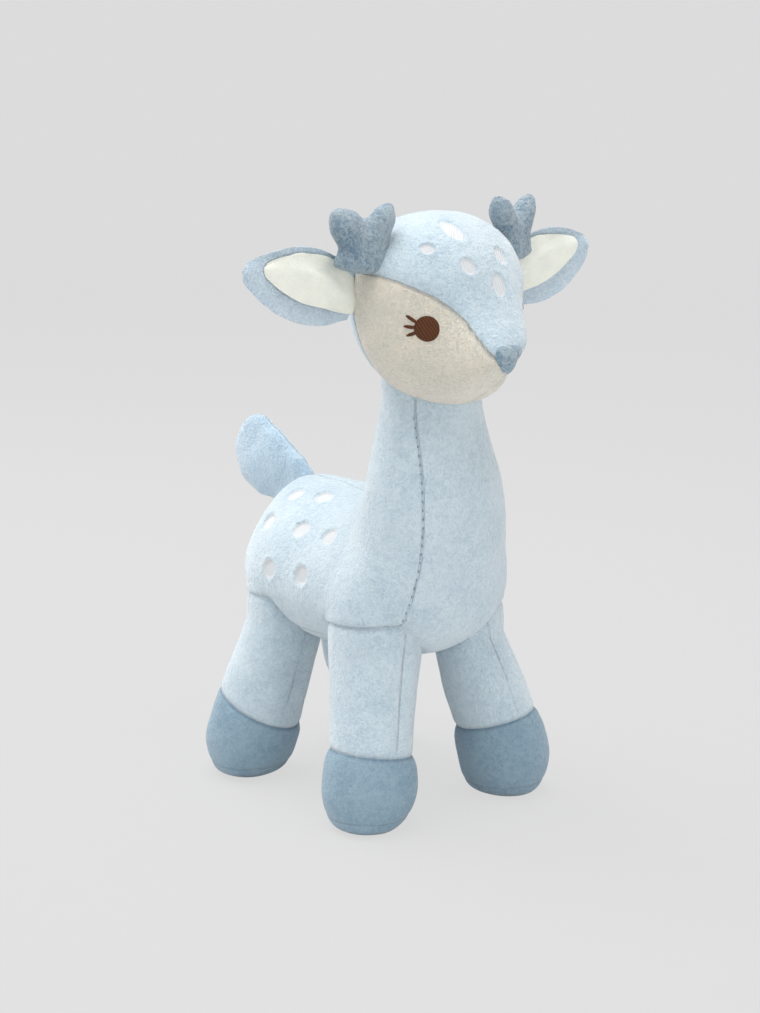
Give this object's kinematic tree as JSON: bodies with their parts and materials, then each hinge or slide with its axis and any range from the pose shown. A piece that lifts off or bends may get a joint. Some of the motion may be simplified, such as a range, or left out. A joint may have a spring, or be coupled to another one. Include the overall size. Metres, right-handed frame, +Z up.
{
  "type": "plush deer",
  "caption": "Standing plush fawn in pale-blue short-pile fabric with cream cheeks, grey-blue antlers, nose and hooves, embroidered eyes and a small upright tail.",
  "frame": {"origin": "on the floor, under the middle of the bounding box", "axes": "+Z up, -Y the way the nose points, +X the animal's left side"},
  "size_m": [0.1992, 0.2068, 0.2811],
  "materials": {
    "body_plush_blue": "short pile",
    "tail_plush_sky": "short pile",
    "cheek_plush_cream": "brushed pile",
    "ear_lining_ivory": "flat velour",
    "trim_plush_slate": "short pile",
    "stuffing_fill": "loose fibre",
    "seam_thread": "thread",
    "eye_embroidery_brown": "satin stitch"
  },
  "bodies": {
    "torso": {"side_panel_left": "body_plush_blue", "side_panel_right": "body_plush_blue", "belly_gusset": "body_plush_blue", "torso_stuffing": "stuffing_fill"},
    "neck_seam": {"neck_seam_thread": "seam_thread"},
    "head": {"forehead_gusset": "body_plush_blue", "head_back": "body_plush_blue", "cheek_left": "cheek_plush_cream", "cheek_right": "cheek_plush_cream", "eye_left": "eye_embroidery_brown", "eye_right": "eye_embroidery_brown", "nose_patch": "trim_plush_slate", "head_stuffing": "stuffing_fill", "antler_left_front": "trim_plush_slate", "antler_left_back": "trim_plush_slate", "antler_left_stuffing": "stuffing_fill", "antler_right_front": "trim_plush_slate", "antler_right_back": "trim_plush_slate", "antler_right_stuffing": "stuffing_fill"},
    "ear_left": {"ear_back_left": "body_plush_blue", "ear_lining_left": "ear_lining_ivory"},
    "ear_right": {"ear_back_right": "body_plush_blue", "ear_lining_right": "ear_lining_ivory"},
    "tail": {"tail_panel_left": "tail_plush_sky", "tail_panel_right": "tail_plush_sky", "tail_stuffing": "stuffing_fill"},
    "leg_front_left": {"leg_front_left_outer": "body_plush_blue", "leg_front_left_inner": "body_plush_blue", "leg_front_left_hoof_wall": "trim_plush_slate", "leg_front_left_hoof_sole": "trim_plush_slate", "leg_front_left_stuffing": "stuffing_fill"},
    "leg_front_right": {"leg_front_right_outer": "body_plush_blue", "leg_front_right_inner": "body_plush_blue", "leg_front_right_hoof_wall": "trim_plush_slate", "leg_front_right_hoof_sole": "trim_plush_slate", "leg_front_right_stuffing": "stuffing_fill"},
    "leg_rear_left": {"leg_rear_left_outer": "body_plush_blue", "leg_rear_left_inner": "body_plush_blue", "leg_rear_left_hoof_wall": "trim_plush_slate", "leg_rear_left_hoof_sole": "trim_plush_slate", "leg_rear_left_stuffing": "stuffing_fill"},
    "leg_rear_right": {"leg_rear_right_outer": "body_plush_blue", "leg_rear_right_inner": "body_plush_blue", "leg_rear_right_hoof_wall": "trim_plush_slate", "leg_rear_right_hoof_sole": "trim_plush_slate", "leg_rear_right_stuffing": "stuffing_fill"}
  },
  "joints": [
    {"name": "head_nod", "type": "hinge", "parent": "torso", "child": "neck_seam", "pos_m": [0, -0.04958, 0.196], "axis": [1, 0, 0], "range_deg": [-12, 10], "stiffness_Nm_per_rad": 0.8},
    {"name": "head_turn", "type": "hinge", "parent": "neck_seam", "child": "head", "pos_m": [0, -0.04958, 0.196], "axis": [0, 0, 1], "range_deg": [-20, 20], "stiffness_Nm_per_rad": 0.5},
    {"name": "ear_left_flap", "type": "hinge", "parent": "head", "child": "ear_left", "pos_m": [0.04041, -0.04558, 0.24], "axis": [-0.242, 0, 0.9703], "range_deg": [-8, 30], "stiffness_Nm_per_rad": 0.03},
    {"name": "ear_right_flap", "type": "hinge", "parent": "head", "child": "ear_right", "pos_m": [-0.04041, -0.04558, 0.24], "axis": [-0.242, 0, -0.9703], "range_deg": [-8, 30], "stiffness_Nm_per_rad": 0.03},
    {"name": "tail_wag", "type": "hinge", "parent": "torso", "child": "tail", "pos_m": [0, 0.05692, 0.132], "axis": [0, 0.7507, -0.6606], "range_deg": [-30, 30], "stiffness_Nm_per_rad": 0.03},
    {"name": "leg_front_left_swing", "type": "hinge", "parent": "torso", "child": "leg_front_left", "pos_m": [0.027, -0.04308, 0.077], "axis": [1, 0, 0], "range_deg": [-12, 12], "stiffness_Nm_per_rad": 1},
    {"name": "leg_front_right_swing", "type": "hinge", "parent": "torso", "child": "leg_front_right", "pos_m": [-0.027, -0.04308, 0.077], "axis": [1, 0, 0], "range_deg": [-12, 12], "stiffness_Nm_per_rad": 1},
    {"name": "leg_rear_left_swing", "type": "hinge", "parent": "torso", "child": "leg_rear_left", "pos_m": [0.027, 0.02792, 0.077], "axis": [1, 0, 0], "range_deg": [-12, 12], "stiffness_Nm_per_rad": 1},
    {"name": "leg_rear_right_swing", "type": "hinge", "parent": "torso", "child": "leg_rear_right", "pos_m": [-0.027, 0.02792, 0.077], "axis": [1, 0, 0], "range_deg": [-12, 12], "stiffness_Nm_per_rad": 1}
  ]
}
